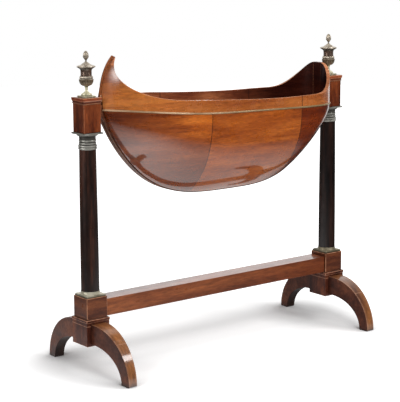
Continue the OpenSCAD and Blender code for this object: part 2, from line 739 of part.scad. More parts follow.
hub(-1);  // hub_left
hub(1);  // hub_right
leg(-1, -1);  // front_leg_left
leg(1, -1);  // front_leg_right
leg(-1, 1);  // back_leg_left
leg(1, 1);  // back_leg_right
plinth(-1);  // plinth_left
plinth(1);  // plinth_right
column_base(-1);  // column_base_left
column_base(1);  // column_base_right
column(-1);  // column_left
column(1);  // column_right
capital(-1);  // capital_left
capital(1);  // capital_right
pivot_block(-1);  // pivot_block_left
pivot_block(1);  // pivot_block_right
pivot_bush(-1);  // pivot_bush_left
pivot_bush(1);  // pivot_bush_right
block_cap(-1);  // block_cap_left
block_cap(1);  // block_cap_right
urn_foot(-1);  // urn_foot_left
urn_foot(1);  // urn_foot_right
urn_body(-1);  // urn_body_left
urn_body(1);  // urn_body_right
urn_lid(-1);  // urn_lid_left
urn_lid(1);  // urn_lid_right
stretcher();
bow_panel();  // bow_panel_front
mirror([0, 1, 0]) bow_panel();  // bow_panel_back
waist_panel();  // waist_panel_front
mirror([0, 1, 0]) waist_panel();  // waist_panel_back
stern_panel();  // stern_panel_front
mirror([0, 1, 0]) stern_panel();  // stern_panel_back
gunwale();  // gunwale_front
mirror([0, 1, 0]) gunwale();  // gunwale_back
stern_gunwale();  // stern_gunwale_front
mirror([0, 1, 0]) stern_gunwale();  // stern_gunwale_back
bead();  // bead_front
mirror([0, 1, 0]) bead();  // bead_back
keel_band();
pivot_pin(-1);  // pivot_pin_left
pivot_pin(1);  // pivot_pin_right
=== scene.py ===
# %% [markdown]
# # A boat-shaped cradle that swings between two columns
# This lesson dresses a finished construction model. The model brings every piece at its
# true place, in metres, with X along the cradle, the prow at -X, the front at -Y and Z up.
# Nothing is measured or moved here: each cell gives a piece its finish, or models it again
# with more detail in the very place that the construction model gives it.

# %% Load the construction model
import json
import math

import bpy
from mathutils import Matrix, Vector

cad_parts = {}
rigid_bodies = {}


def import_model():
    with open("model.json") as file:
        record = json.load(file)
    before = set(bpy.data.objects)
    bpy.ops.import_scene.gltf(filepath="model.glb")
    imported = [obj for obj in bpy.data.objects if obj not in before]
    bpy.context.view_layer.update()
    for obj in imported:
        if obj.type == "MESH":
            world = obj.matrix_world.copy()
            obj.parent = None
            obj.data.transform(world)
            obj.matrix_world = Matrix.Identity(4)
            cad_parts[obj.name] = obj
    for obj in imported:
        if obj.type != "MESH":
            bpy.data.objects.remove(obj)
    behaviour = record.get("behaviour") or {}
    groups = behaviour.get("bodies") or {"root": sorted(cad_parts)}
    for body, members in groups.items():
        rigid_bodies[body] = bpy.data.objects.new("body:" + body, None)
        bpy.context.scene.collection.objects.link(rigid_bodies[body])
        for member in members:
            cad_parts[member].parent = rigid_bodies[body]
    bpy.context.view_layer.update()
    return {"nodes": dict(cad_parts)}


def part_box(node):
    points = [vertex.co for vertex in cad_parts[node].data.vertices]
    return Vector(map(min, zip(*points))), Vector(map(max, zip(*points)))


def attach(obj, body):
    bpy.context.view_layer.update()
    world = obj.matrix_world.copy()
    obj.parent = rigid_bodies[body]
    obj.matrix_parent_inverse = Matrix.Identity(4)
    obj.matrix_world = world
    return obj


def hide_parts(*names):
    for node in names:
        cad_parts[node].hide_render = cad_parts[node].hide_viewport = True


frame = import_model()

nodes = frame["nodes"]

# %% [markdown]
# ## The camera
# The picture was taken from in front and to the left, a little above the rim, with a long
# lens: the two ends of the stretcher run together only slowly. A heading and a tilt say
# where the camera looks, with a very small roll. A shift then moves the object in the
# picture without tipping the lens further, so that upright posts stay nearly upright.

# %% Camera
HEADING = math.radians(37.5879)
TILT = math.radians(10.13111)
ROLL = math.radians(-0.32227)
STANDPOINT = (-3.38062, -4.29659, 1.60983)
FILM_MM, LENS_MM = 36, 131.872
SHIFT = -0.05

forward = Vector((math.sin(HEADING) * math.cos(TILT), math.cos(HEADING) * math.cos(TILT),
                  -math.sin(TILT)))
right = Vector((math.cos(HEADING), -math.sin(HEADING), 0))
up = right.cross(forward)
right, up = (right * math.cos(ROLL) + up * math.sin(ROLL),
             up * math.cos(ROLL) - right * math.sin(ROLL))
lens = bpy.data.cameras.new("camera")
lens.sensor_fit = "HORIZONTAL"
lens.sensor_width = FILM_MM
lens.lens = LENS_MM
lens.shift_y = SHIFT
camera = bpy.data.objects.new("camera", lens)
camera.location = STANDPOINT
camera.rotation_euler = Matrix((right, up, -forward)).transposed().to_euler()
bpy.context.scene.collection.objects.link(camera)
bpy.context.scene.camera = camera
bpy.context.scene.view_settings.view_transform = "Standard"
print("camera distance from the middle:", round(camera.location.length, 2), "m")

# %% [markdown]
# ## Helpers for materials
# A material is a small tree of nodes. They could be placed one by one by hand, but the
# same few kinds come again and again. `put` adds one node and fills its sockets, with a
# number, a colour, or the output of another node. `calc` does one sum, `mix` blends two
# colours, and `tint` multiplies a colour by three factors. With these, every recipe below
# reads from top to bottom.

# %% Nodes, sums and colours
def put(tree, kind, sockets, **settings):
    node = tree.nodes.new("ShaderNode" + kind)
    for key, value in settings.items():
        setattr(node, key, value)
    for key, value in sockets.items():
        if isinstance(value, bpy.types.NodeSocket):
            tree.links.new(value, node.inputs[key])
        else:
            node.inputs[key].default_value = value
    return node


def calc(tree, operation, *values):
    return put(tree, "Math", dict(enumerate(values)), operation=operation).outputs[0]


def times(tree, first, second):
    return calc(tree, "MULTIPLY", first, second)


def mix(tree, amount, first, second, how="MIX"):
    fill = {0: amount, 6: first, 7: second}
    return put(tree, "Mix", fill, data_type="RGBA", blend_type=how).outputs[2]


def tint(tree, amount, colour, factors):
    """The colour, multiplied by three factors where amount is 1"""
    return mix(tree, amount, colour, mix(tree, 1.0, colour, factors + (1,), "MULTIPLY"))


def rgb(red, green, blue):
    """A colour as a picture shows it, 0 to 255, turned into the light that Blender counts in"""
    def linear(v):
        v = v / 255
        return v / 12.92 if v <= 0.04045 else ((v + 0.055) / 1.055) ** 2.4
    return (linear(red), linear(green), linear(blue), 1)


# %% [markdown]
# ## Helpers for patterns
# Every pattern is read from Object coordinates: the place on the piece itself, in metres,
# so it sticks to the piece when the cradle swings. `ramp` turns one range of a value into
# another and stops at both ends, which makes soft edges. `between` makes a hard band.

# %% Patterns
def new_material(name, **settings):
    """An empty material with one shader, whose plain sockets are set here"""
    material = bpy.data.materials.new(name)
    material.use_nodes = True
    tree = material.node_tree
    tree.nodes.clear()
    shader = put(tree, "BsdfPrincipled", {})
    for key, value in settings.items():
        shader.inputs[key.replace("_", " ")].default_value = value
    put(tree, "OutputMaterial", {"Surface": shader.outputs[0]})
    return material, tree, shader


def coordinates(tree, stretch=(1, 1, 1)):
    """Place on the piece, in metres, squeezed or stretched so that a pattern runs long"""
    place = put(tree, "TexCoord", {}).outputs["Object"]
    return put(tree, "Mapping", {"Vector": place, "Scale": stretch}).outputs[0]


def axes(tree):
    split = put(tree, "SeparateXYZ", {0: coordinates(tree)})
    return split.outputs[0], split.outputs[1], split.outputs[2]


def noise(tree, vector, scale, detail=4.0, roughness=0.55, distortion=0.0):
    fill = {"Vector": vector, "Scale": scale, "Detail": detail, "Roughness": roughness,
            "Distortion": distortion}
    return put(tree, "TexNoise", fill).outputs["Fac"]


def ramp(tree, value, low, high, to_low=0.0, to_high=1.0):
    fill = {"Value": value, "From Min": low, "From Max": high, "To Min": to_low,
            "To Max": to_high}
    return put(tree, "MapRange", fill, clamp=True).outputs[0]


def between(tree, value, low, high):
    """1 where value lies between low and high, 0 elsewhere"""
    return times(tree, calc(tree, "GREATER_THAN", value, low),
                 calc(tree, "LESS_THAN", value, high))


def off(tree, value, place):
    """How far value is from place, to either side"""
    return calc(tree, "ABSOLUTE", calc(tree, "SUBTRACT", value, place))


def any_ray(tree, *kinds):
    """1 for a ray of one of these kinds, 0 for any other"""
    path = put(tree, "LightPath", {})
    total = path.outputs["Is " + kinds[0] + " Ray"]
    for kind in kinds[1:]:
        total = calc(tree, "MAXIMUM", total, path.outputs["Is " + kind + " Ray"])
    return total


# %% [markdown]
# ## Floor
# The object stands on white paper that runs up behind it. To the camera the paper glows a
# little, so that it ends up as white as the backdrop. The glow fades near the object, so that
# the soft shadow shows, and where the object shelters the paper it is taken away, which adds
# a painted contact shadow to the real one. Glossy wood mirrors the paper, and this is where
# the pale sheen low on the hull comes from: for mirrored rays the paper is a pool of light
# under the object, brightest under the prow, and a second bright patch far to the right,
# which gives the stern its light outline.

# %% Floor
FLOOR_RADIUS = 9
BELOW_THE_FEET = 0.0004
# each row: from here, to there, strength here, strength there
SHADOW_FADE = (0.62, 1.25, 0.38, 1.0)
CONTACT_FADE = (0.72, 1.0, 0.0, 1.0)
POOL_FADE = (0.8, 1.55, 0.95, 0.02)
POOL_ALONG = (-0.75, 0.3, 1.75, 0.78)
FAR_RIGHT_ALONG = (1.8, 3.0, 0.0, 0.9)
FAR_RIGHT_ACROSS = (-0.15, 0.6, 0.0, 1.0)

bpy.ops.object.select_all(action="DESELECT")
bpy.ops.mesh.primitive_circle_add(vertices=96, radius=FLOOR_RADIUS, fill_type="NGON",
                                  location=(0, 0, -BELOW_THE_FEET))
floor = bpy.context.object
floor.name = "floor"
bpy.ops.object.transform_apply(location=True)
paper, tree, shader = new_material("floor_paper", Roughness=0.9, Specular_IOR_Level=0)
shader.inputs["Base Color"].default_value = (0.9, 0.9, 0.9, 1)
shader.inputs["Emission Color"].default_value = (1, 1, 1, 1)
x, y, z = axes(tree)
reach = calc(tree, "SQRT", calc(tree, "ADD", times(tree, x, x), times(tree, y, y)))
# painted contact shadow: the glow is taken away where the object shelters the paper
sheltered = put(tree, "AmbientOcclusion", {"Distance": 0.25}, samples=16).outputs["AO"]
glow = times(tree, ramp(tree, reach, *SHADOW_FADE), ramp(tree, sheltered, *CONTACT_FADE))
tree.links.new(times(tree, any_ray(tree, "Camera", "Transmission"), glow),
               shader.inputs["Emission Strength"])
pool = times(tree, ramp(tree, reach, *POOL_FADE), ramp(tree, x, *POOL_ALONG))
beside = calc(tree, "SUBTRACT", y, times(tree, x, 0.2))
far_right = times(tree, ramp(tree, x, *FAR_RIGHT_ALONG), ramp(tree, beside, *FAR_RIGHT_ACROSS))
mirrored = put(tree, "Emission", {"Color": (1, 1, 1, 1),
                                  "Strength": calc(tree, "ADD", pool, far_right)})
both_ways = put(tree, "MixShader", {0: any_ray(tree, "Glossy"), 1: shader.outputs[0],
                                    2: mirrored.outputs[0]})
tree.links.new(both_ways.outputs[0], tree.nodes["Material Output"].inputs["Surface"])
floor.data.materials.append(paper)
print("floor radius:", FLOOR_RADIUS, "m")

# %% [markdown]
# ## World
# The light that falls on the wood is even from all sides. What polish mirrors isn't: the
# backdrop is white, and the room behind the camera is dim, which is why the upper hull
# keeps its deep colour. Two glows are added for mirrored rays alone. One, low at the left,
# lies as a soft highlight on the horn, and a faint one overhead lifts flat tops.

# %% World
BACKDROP = (math.sin(HEADING), math.cos(HEADING), 0.0)
BACKDROP_FADE = (0.3, 0.85, 0.03, 1.0)
EVEN_LIGHT = 0.36
# each glow: its direction, how nearly a ray must point there, and its strength
GLOWS = (((-0.95, 0.08, 0.34), 0.87, 5.6), ((0.1, 0.1, 1.0), 0.4, 0.4))


def toward(tree, direction, way):
    """1 for a ray that points straight this way, 0 for one that points square to it"""
    return put(tree, "VectorMath", {0: direction, 1: way},
               operation="DOT_PRODUCT").outputs["Value"]


world = bpy.data.worlds.new("studio")
world.use_nodes = True
bpy.context.scene.world = world
tree = world.node_tree
tree.nodes.clear()
direction = put(tree, "NewGeometry", {}).outputs["Position"]
reflected = ramp(tree, toward(tree, direction, BACKDROP), *BACKDROP_FADE)
for way, nearly, power in GLOWS:
    near = ramp(tree, toward(tree, direction, Vector(way).normalized()), nearly, 1.0)
    glow = times(tree, calc(tree, "POWER", near, 2), power)
    reflected = calc(tree, "ADD", reflected, glow)
mirrored = times(tree, any_ray(tree, "Glossy"), reflected)
others = times(tree, calc(tree, "SUBTRACT", 1, any_ray(tree, "Glossy")), EVEN_LIGHT)
strength = calc(tree, "MAXIMUM", any_ray(tree, "Camera", "Transmission"),
                calc(tree, "MAXIMUM", mirrored, others))
background = put(tree, "Background", {"Color": (1, 1, 1, 1), "Strength": strength})
put(tree, "OutputWorld", {"Surface": background.outputs[0]})
print("even light from all sides:", EVEN_LIGHT)

# %% [markdown]
# ## Lamps
# Four large soft lamps model the form: a key from the front, one from each side and one
# from the top. Polish would show them as hard discs, so glossy rays don't see them. A
# fifth, small lamp is the only one that polish mirrors, and its glint lies on the crown of
# the left front leg.

# %% Lamps
# name, place, what it is aimed at, size, power, and whether polish mirrors it
LAMPS = (("key", (-0.9, -2.9, 3.2), (0, 0, 0.6), 2.4, 74, False),
         ("left", (-3.3, -0.7, 1.7), (-0.5, 0, 0.8), 1.0, 27, False),
         ("right", (2.4, -2.1, 2.8), (0, 0, 0.4), 1.0, 34, False),
         ("top", (0.1, -0.5, 3.4), (0, 0, 0), 1.0, 16, False),
         ("glint", (1.05, -1.88, 2.0), (-0.57, -0.23, 0.1), 0.62, 14, True))
for name, place, aim, size, power, in_polish in LAMPS:
    lamp = bpy.data.lights.new(name, "AREA")
    lamp.shape = "DISK"
    lamp.size = size
    lamp.energy = power
    thing = bpy.data.objects.new(name, lamp)
    thing.location = place
    thing.rotation_euler = (Vector(place) - Vector(aim)).to_track_quat("Z", "Y").to_euler()
    thing.visible_glossy = in_polish
    bpy.context.scene.collection.objects.link(thing)
print("lamps:", [lamp[0] for lamp in LAMPS])

# %% [markdown]
# ## Mahogany
# Polished mahogany has three scales: broad clouds of lighter and darker figure, long fine
# streaks along the grain, and short dark pores. A photograph of wood could be wrapped on,
# but it would repeat and slide. Here each scale is one noise, stretched along the grain.
# Over them lies French polish, a clear glossy film, which the shader's coat gives. Corners are
# darkened, partly by dark wax gathered there and partly as painted shade. `lines` lets a
# recipe lay thin inlaid strings over the wood before it is polished.

# %% Figure, streaks and pores
STREAKS_FINER, PORES_FINER = 14, 60


def figured(tree, along, colours, figure, contrast, streak):
    """The bare wood's colour, and its streaks alone"""
    dark, middle, light = (rgb(*colour) for colour in colours)
    clouds = noise(tree, along, figure, 5, 0.6, 0.2)
    spread = 0.17 / contrast
    colour = mix(tree, ramp(tree, clouds, 0.5 - spread, 0.5), dark, middle)
    colour = mix(tree, ramp(tree, clouds, 0.5, 0.5 + spread), colour, light)
    fine = noise(tree, along, figure * STREAKS_FINER, 5, 0.65)
    shade = ramp(tree, fine, 0.36, 0.62, 1 - streak, 1 + streak * 0.35)
    shade = put(tree, "CombineColor", {0: shade, 1: shade, 2: shade}).outputs[0]
    colour = mix(tree, 1.0, colour, shade, "MULTIPLY")
    specks = noise(tree, along, figure * PORES_FINER, 3, 0.6)
    return mix(tree, ramp(tree, specks, 0.60, 0.70, 0.0, 0.45), colour, dark), fine


# %% Polish, wax and painted shade
# dark wax and painted shade, laid in corners that ambient occlusion finds
WAX_AND_SHADE = rgb(20, 9, 6)
WAX_AND_SHADE_FADE = (0.4, 0.75, 0.75, 0.0)
BARE_IS_ROUGHER = 0.35


def wood(name, colours, stretch, figure=14, contrast=1.0, streak=0.35, lines=None, shine=0.3,
         coat=1.0, coat_rough=0.05, coat_ior=1.6, rough=0.35, corner=0.012, alone=False,
         dull=None):
    """colours are a dark, a middle and a light one; stretch makes the figure long where it
    is small; corner is how far wax and painted shade reach out of a corner, and alone makes
    them leave out other pieces; dull is a function that says, from 0 to 1, where the polish is
    gone"""
    material, tree, shader = new_material(name, Coat_Weight=coat, Coat_Roughness=coat_rough,
                                          Coat_IOR=coat_ior, Specular_IOR_Level=shine)
    along = coordinates(tree, stretch)
    colour, fine = figured(tree, along, colours, figure, contrast, streak)
    if lines:
        colour = lines(tree, colour)
    # painted shade in corners, with dark wax: the colour darkens where other surfaces are near
    open_sky = put(tree, "AmbientOcclusion", {"Distance": corner}, samples=8,
                   only_local=alone).outputs["AO"]
    colour = mix(tree, ramp(tree, open_sky, *WAX_AND_SHADE_FADE), colour, WAX_AND_SHADE)
    tree.links.new(colour, shader.inputs["Base Color"])
    worn = noise(tree, coordinates(tree), 22, 3, 0.6)
    matt = ramp(tree, worn, 0.3, 0.7, rough - 0.08, rough + 0.1)
    if dull:
        bare = dull(tree)
        matt = calc(tree, "ADD", matt, times(tree, bare, BARE_IS_ROUGHER))
        tree.links.new(times(tree, calc(tree, "SUBTRACT", 1, bare), coat),
                       shader.inputs["Coat Weight"])
    tree.links.new(matt, shader.inputs["Roughness"])
    bump = put(tree, "Bump", {"Height": fine, "Strength": 0.12, "Distance": 0.0004})
    tree.links.new(bump.outputs[0], shader.inputs["Normal"])
    return material


post_x = (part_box("hub_right")[0].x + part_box("hub_right")[1].x) / 2
print("posts stand at x =", round(post_x, 4), "and", round(-post_x, 4))

# %% [markdown]
# ## Blocks of the stand
# Each post has three square blocks: the hub low down, the plinth under the column and the
# block that holds the pivot. Their construction solids have the right shape, so they stay
# and only get a finish, by filling their material slot. Plinths, hubs and pivot blocks have
# a pale line along their edges: a thin string of light wood let into the corner. It is
# flush, so colour alone shows it. On a square block the upright edges are where both
# distances from the axis are near the half side.

# %% Edge strings
def dress(material, *stems):
    """Gives a finish to the left and the right one of each of these pieces"""
    for stem in stems:
        for side in ("_left", "_right"):
            slots = nodes[stem + side].data.materials
            slots.clear()
            slots.append(material)


def block_lines(node, width, colour, *heights):
    """Pale strings along the upright edges of a block, along its top and bottom edges, and
    pale lines at other heights, which on the hub's ledge are painted highlights"""
    low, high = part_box(node)
    half = (high.y - low.y) / 2

    def lines(tree, wood_colour):
        x, y, z = axes(tree)
        from_axis = off(tree, calc(tree, "ABSOLUTE", x), post_x)
        nearer = calc(tree, "MINIMUM", from_axis, calc(tree, "ABSOLUTE", y))
        mask = calc(tree, "GREATER_THAN", nearer, half - width)
        for height in (low.z + width / 2, high.z - width / 2) + heights:
            band = between(tree, z, height - width / 2, height + width / 2)
            mask = calc(tree, "MAXIMUM", mask, band)
        patchy = ramp(tree, noise(tree, coordinates(tree), 60, 3), 0.35, 0.6, 0.25, 0.9)
        return mix(tree, times(tree, mask, patchy), wood_colour, colour)
    return lines


# %% Pivot blocks, plinths and hubs
# the pale lines at these heights on the hub are painted highlights along its ledge
LEDGE_BOTTOM, LEDGE_TOP = 0.180, 0.193
block_wood = wood("pivot_block_mahogany", ((54, 20, 8), (88, 36, 14), (122, 58, 26)),
                  (1, 1, 0.14), 20, streak=0.5, contrast=1.3, coat=0.3, coat_rough=0.1,
                  lines=block_lines("pivot_block_right", 0.0018, rgb(156, 96, 64)))
plinth_wood = wood("plinth_mahogany", ((58, 26, 17), (86, 44, 27), (116, 64, 36)),
                   (0.2, 0.2, 1), 34, shine=0.15, coat=0.12, coat_rough=0.12, coat_ior=1.5,
                   lines=block_lines("plinth_right", 0.0020, rgb(178, 128, 98)))
hub_wood = wood("hub_mahogany", ((48, 20, 15), (80, 40, 28), (116, 64, 40)),
                (1, 1, 0.3), 20, contrast=1.2, shine=0.12, coat=0.05, coat_rough=0.15,
                coat_ior=1.5, lines=block_lines("hub_right", 0.0022, rgb(170, 122, 98),
                                                LEDGE_TOP, LEDGE_BOTTOM))
dress(block_wood, "pivot_block")
dress(plinth_wood, "plinth")
dress(hub_wood, "hub")
print("block finishes:", block_wood.name, plinth_wood.name, hub_wood.name)

# %% [markdown]
# ## Caps of the pivot blocks
# A stepped board closes each block. The hollow under its edge is darkened with painted shade,
# and its edges are lightened with painted highlights. Both follow the shape, so these bands
# are laid by their height below the top and mixed only in part.

# %% Caps
CAP_HOLLOW = 0.0118
# each painted highlight on an edge: from this far below the top, up to this far, and how
# strongly
CAP_EDGE_HIGHLIGHTS = ((0.0118, 0.0098, 0.4), (0.0016, 0.0, 0.5), (0.0215, 0.0192, 0.3))


def cap_bands(tree, colour):
    """Painted shade in the hollow under the cap's board, and painted highlights on its edges"""
    x, y, z = axes(tree)
    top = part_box("block_cap_right")[1].z
    # painted shade in the hollow under the board
    dark = times(tree, calc(tree, "LESS_THAN", z, top - CAP_HOLLOW), 0.6)
    colour = mix(tree, dark, colour, rgb(40, 16, 10))
    # painted highlights along the board's edges
    for low, high, strength in CAP_EDGE_HIGHLIGHTS:
        edge = times(tree, between(tree, z, top - low, top - high), strength)
        colour = mix(tree, edge, colour, rgb(206, 150, 110))
    return colour


# wax and painted shade reach far here, to fill the hollow under the board
cap_wood = wood("cap_mahogany", ((78, 28, 14), (120, 52, 28), (156, 84, 50)), (0.3, 0.3, 1),
                20, coat=0.45, corner=0.03, lines=cap_bands)
dress(cap_wood, "block_cap")
print("rubbed edges on a cap:", len(CAP_EDGE_HIGHLIGHTS))

# %% [markdown]
# ## Ebonised columns
# The columns are turned wood, stained almost black and polished. Brown shows through where
# hands and cloths have rubbed the stain, in long upright streaks, so the figure is squeezed
# along Z.

# %% Columns
ebony = wood("ebonised_mahogany", ((14, 9, 9), (34, 20, 16), (64, 36, 26)), (1, 1, 0.08), 26,
             contrast=1.3, streak=0.45, coat=0.3, coat_rough=0.2, coat_ior=1.5)
dress(ebony, "column")
column_low, column_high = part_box("column_right")
print("columns are", round(column_high.z - column_low.z, 3), "m high with their tenons")

# %% [markdown]
# ## Brass
# The stand has cast brass at both ends of the columns, and the urns are chased bronze with
# worn gilding. All are metals with clouds of patina that make them darker and rougher, and
# they are darker where mouldings meet, partly by dirt and partly as painted shade, which an
# ambient occlusion node finds. One recipe serves them all, and `bands` lets a piece darken
# some of its mouldings by height.

# %% Brass
def brass(name, bright, dull, dirt_and_shade, scale=55, shine=(0.28, 0.5), depth=0.006, metal=0.8,
          bands=None):
    """depth is how far the dirt and painted shade reach out of a hollow, and shine is how rough
    the brass is where it is bright and where it is dull"""
    material, tree, shader = new_material(name, Metallic=metal)
    place = coordinates(tree)
    clouds = noise(tree, place, scale, 4, 0.5)
    colour = mix(tree, ramp(tree, clouds, 0.35, 0.65), rgb(*dull), rgb(*bright))
    if bands:
        colour = bands(tree, colour)
    # dirt and painted shade in the hollows, found by ambient occlusion
    hollow = put(tree, "AmbientOcclusion", {"Distance": depth}, samples=12)
    clean = ramp(tree, hollow.outputs["AO"], 0.35, 0.85, 0.0, 1.0)
    colour = mix(tree, clean, rgb(*dirt_and_shade), colour)
    tree.links.new(colour, shader.inputs["Base Color"])
    tree.links.new(ramp(tree, clouds, 0.35, 0.65, shine[1], shine[0]),
                   shader.inputs["Roughness"])
    speck = noise(tree, place, scale * 7, 3)
    bump = put(tree, "Bump", {"Height": speck, "Strength": 0.08, "Distance": 0.0004})
    tree.links.new(bump.outputs[0], shader.inputs["Normal"])
    return material


def band_between(tree, colour, height, low, high, strength, shade):
    """Lays a shade over the part of a moulding between two heights"""
    return mix(tree, times(tree, between(tree, height, low, high), strength), colour, shade)


# %% [markdown]
# ## Capitals and column bases
# A capital is a plate over a hollow neck and rings with grooves between them, and the neck
# and the grooves are darkened almost black. A base is a square plate under a rubbed ring,
# darker low on the plate's sides. The stern's base stands in the shade, which is painted into
# its colour as painted shade.

# %% Capitals and bases
# heights above the capital's foot, and how dark the hollow is
CAPITAL_HOLLOWS = ((0.0162, 0.0188, 0.9), (0.0250, 0.0284, 0.9), (0.0346, 0.0520, 0.8))


def capital_bands(tree, colour):
    """Black in the grooves between the rings and in the hollow neck under the plate"""
    x, y, z = axes(tree)
    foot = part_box("capital_right")[0].z
    for low, high, strength in CAPITAL_HOLLOWS:
        colour = band_between(tree, colour, z, foot + low, foot + high, strength,
                              rgb(44, 38, 34))
    return colour


def base_bands(tree, colour):
    """Darker low on the plate's sides, and painted shade over the stern's base"""
    x, y, z = axes(tree)
    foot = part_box("column_base_right")[0].z
    side = ramp(tree, z, foot + 0.0035, foot + 0.0075, 0.8, 0.0)
    colour = mix(tree, side, colour, rgb(66, 56, 40))
    # painted shade: the stern's base is darkened as it stands in the shade
    stern = times(tree, calc(tree, "GREATER_THAN", x, 0), 0.9)
    return tint(tree, stern, colour, (0.5, 0.46, 0.38))


patina = brass("patinated_brass", (168, 166, 158), (112, 110, 102), (24, 20, 18), 30,
               shine=(0.3, 0.42), depth=0.008, metal=0.5, bands=capital_bands)
base_brass = brass("base_brass", (216, 210, 190), (138, 131, 109), (30, 24, 18), 26,
                   shine=(0.3, 0.42), depth=0.010, metal=0.45, bands=base_bands)
dress(patina, "capital")
dress(base_brass, "column_base")
print("dark hollows on a capital:", len(CAPITAL_HOLLOWS))

# %% [markdown]
# ## Urn feet, bushes and pins
# The feet of the urns keep most of their gilding, which is pale and fairly bright. Inside
# each pivot block a brass bush carries a steel pin. Both are nearly hidden, and oil and
# wear have left them plain, so they need no bands.

# %% Urn feet, bushes and pins
gilt = brass("gilt_bronze", (252, 246, 216), (214, 208, 174), (30, 24, 18), 110,
             shine=(0.32, 0.44), depth=0.010, metal=0.6)
bearing = brass("bearing_brass", (186, 150, 90), (130, 100, 60), (50, 36, 20), 60)
steel = brass("pivot_steel", (120, 116, 112), (84, 80, 76), (30, 26, 24), 60)
dress(gilt, "urn_foot")
dress(bearing, "pivot_bush")
dress(steel, "pivot_pin")
print("small metals:", gilt.name, bearing.name, steel.name)

# %% [markdown]
# ## The hull as one smooth skin
# The construction model builds the hull from flat strips. On polished wood every facet
# would show in the mirrored floor, so the hull is modelled again: the panels of one side
# are copied and joined, their triangles paired into four-sided faces, and a Subdivision
# Surface rounds the skin between the real edges, which are creased so that they stay. The
# helpers come first: one copies and welds, and two select faces or vertices by a test.

# %% Copy, join and weld
def deselect():
    if bpy.context.object and bpy.context.object.mode != "OBJECT":
        bpy.ops.object.mode_set(mode="OBJECT")
    bpy.ops.object.select_all(action="DESELECT")


def joined_copy(name, *sources):
    """One new object from copies of construction pieces, their vertices welded"""
    deselect()
    for source in sources:
        mesh = nodes[source].data.copy()
        mesh.materials.clear()
        thing = bpy.data.objects.new(name, mesh)
        bpy.context.scene.collection.objects.link(thing)
        thing.select_set(True)
        bpy.context.view_layer.objects.active = thing
    if len(sources) > 1:
        bpy.ops.object.join()
    thing = bpy.context.object
    thing.name = name
    if thing.data.has_custom_normals:
        bpy.ops.mesh.customdata_custom_splitnormals_clear()
    bpy.ops.object.mode_set(mode="EDIT")
    bpy.ops.mesh.select_all(action="SELECT")
    bpy.ops.mesh.remove_doubles(threshold=0.00002)
    bpy.ops.object.mode_set(mode="OBJECT")
    return thing


# %% Select by a test
def start_picking(thing, kind):
    """Clears the selection of faces or vertices in edit mode, where a later switch reads it"""
    bpy.context.view_layer.objects.active = thing
    bpy.ops.object.mode_set(mode="EDIT")
    bpy.ops.mesh.select_mode(type=kind)
    bpy.ops.mesh.select_all(action="DESELECT")
    bpy.ops.object.mode_set(mode="OBJECT")


def select_faces(thing, test):
    """Selects, in edit mode, the faces for which test(centre, normal) is true"""
    start_picking(thing, "FACE")
    count = 0
    for face in thing.data.polygons:
        face.select = bool(test(face.center, face.normal))
        count += face.select
    bpy.ops.object.mode_set(mode="EDIT")
    return count


def select_vertices(thing, test):
    """Selects, in edit mode, the vertices for which test(place) is true"""
    start_picking(thing, "VERT")
    for vertex in thing.data.vertices:
        vertex.select = bool(test(vertex.co))
    bpy.ops.object.mode_set(mode="EDIT")


def assign(thing, slot):
    """Gives the selected faces a material slot, and leaves edit mode"""
    thing.active_material_index = slot
    bpy.ops.object.material_slot_assign()
    bpy.ops.object.mode_set(mode="OBJECT")


# %% [markdown]
# ## Seams, edges and rounding
# Where two panels are glued end to end, each solid has an end face inside the wood. Both
# are deleted and the hair-thin gap is welded, so that the skin runs through. Then the real
# edges are found by their angle and creased. A crease below 1 leaves an edge a little
# round, as hands do, and it is a cheap way to ease an edge without a bevel.

# %% Seams and skin
SEAM_GAP = 0.0004
SEAMS = (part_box("waist_panel_front")[0].x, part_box("waist_panel_front")[1].x)


def join_at_seams(thing, seams):
    """Takes out the two end faces that meet inside each glued seam, and welds the gap"""
    def at_seam(place):
        return any(abs(place.x - seam) < SEAM_GAP for seam in seams)

    select_faces(thing, lambda centre, normal: abs(normal.x) > 0.95 and at_seam(centre))
    bpy.ops.mesh.delete(type="FACE")
    bpy.ops.object.mode_set(mode="OBJECT")
    select_vertices(thing, at_seam)
    bpy.ops.mesh.remove_doubles(threshold=SEAM_GAP)
    bpy.ops.object.mode_set(mode="OBJECT")


def smooth_skin(thing, levels, crease, sharp=35):
    """Pairs triangles, creases the real edges and rounds the rest with a subdivision"""
    deselect()
    thing.select_set(True)
    bpy.context.view_layer.objects.active = thing
    bpy.ops.object.mode_set(mode="EDIT")
    bpy.ops.mesh.select_all(action="SELECT")
    bpy.ops.mesh.tris_convert_to_quads(face_threshold=math.radians(60),
                                       shape_threshold=math.radians(70))
    bpy.ops.mesh.normals_make_consistent(inside=False)
    bpy.ops.mesh.select_mode(type="EDGE")
    bpy.ops.mesh.select_all(action="DESELECT")
    bpy.ops.mesh.edges_select_sharp(sharpness=math.radians(sharp))
    bpy.ops.transform.edge_crease(value=crease)
    bpy.ops.object.mode_set(mode="OBJECT")
    surface = thing.modifiers.new("skin", "SUBSURF")
    surface.levels = surface.render_levels = levels
    bpy.ops.object.modifier_apply(modifier="skin")
    bpy.ops.object.shade_smooth_by_angle(angle=math.radians(30))
    print(thing.name, "faces:", len(thing.data.polygons))


print("veneer seams at x =", [round(seam, 4) for seam in SEAMS])

# %% [markdown]
# ## Finish of the lower hull
# Outside, three veneers lie side by side: a dark one at the bow, lighter near its seam, an
# orange one amidships and a dark red one at the stern, with a fine dark line at each joint.
# Low down the bow is darker still, which is painted shade. Inside, the wood is a dark
# red-brown, and painted shade makes it deepest at the stern.

# %% Hull finishes
DARK_LINE = rgb(38, 16, 10)


def seam_lines(tree, colour, seams=SEAMS):
    """A dark line at each seam, which strays a little as old glue joints do"""
    x, y, z = axes(tree)
    sway = noise(tree, coordinates(tree), 9, 2)
    sway = times(tree, calc(tree, "SUBTRACT", sway, 0.5), 0.006)
    x = calc(tree, "ADD", x, sway)
    for seam in seams:
        line = ramp(tree, off(tree, x, seam), 0.0009, 0.0022, 0.9, 0.0)
        colour = mix(tree, line, colour, DARK_LINE)
    return colour


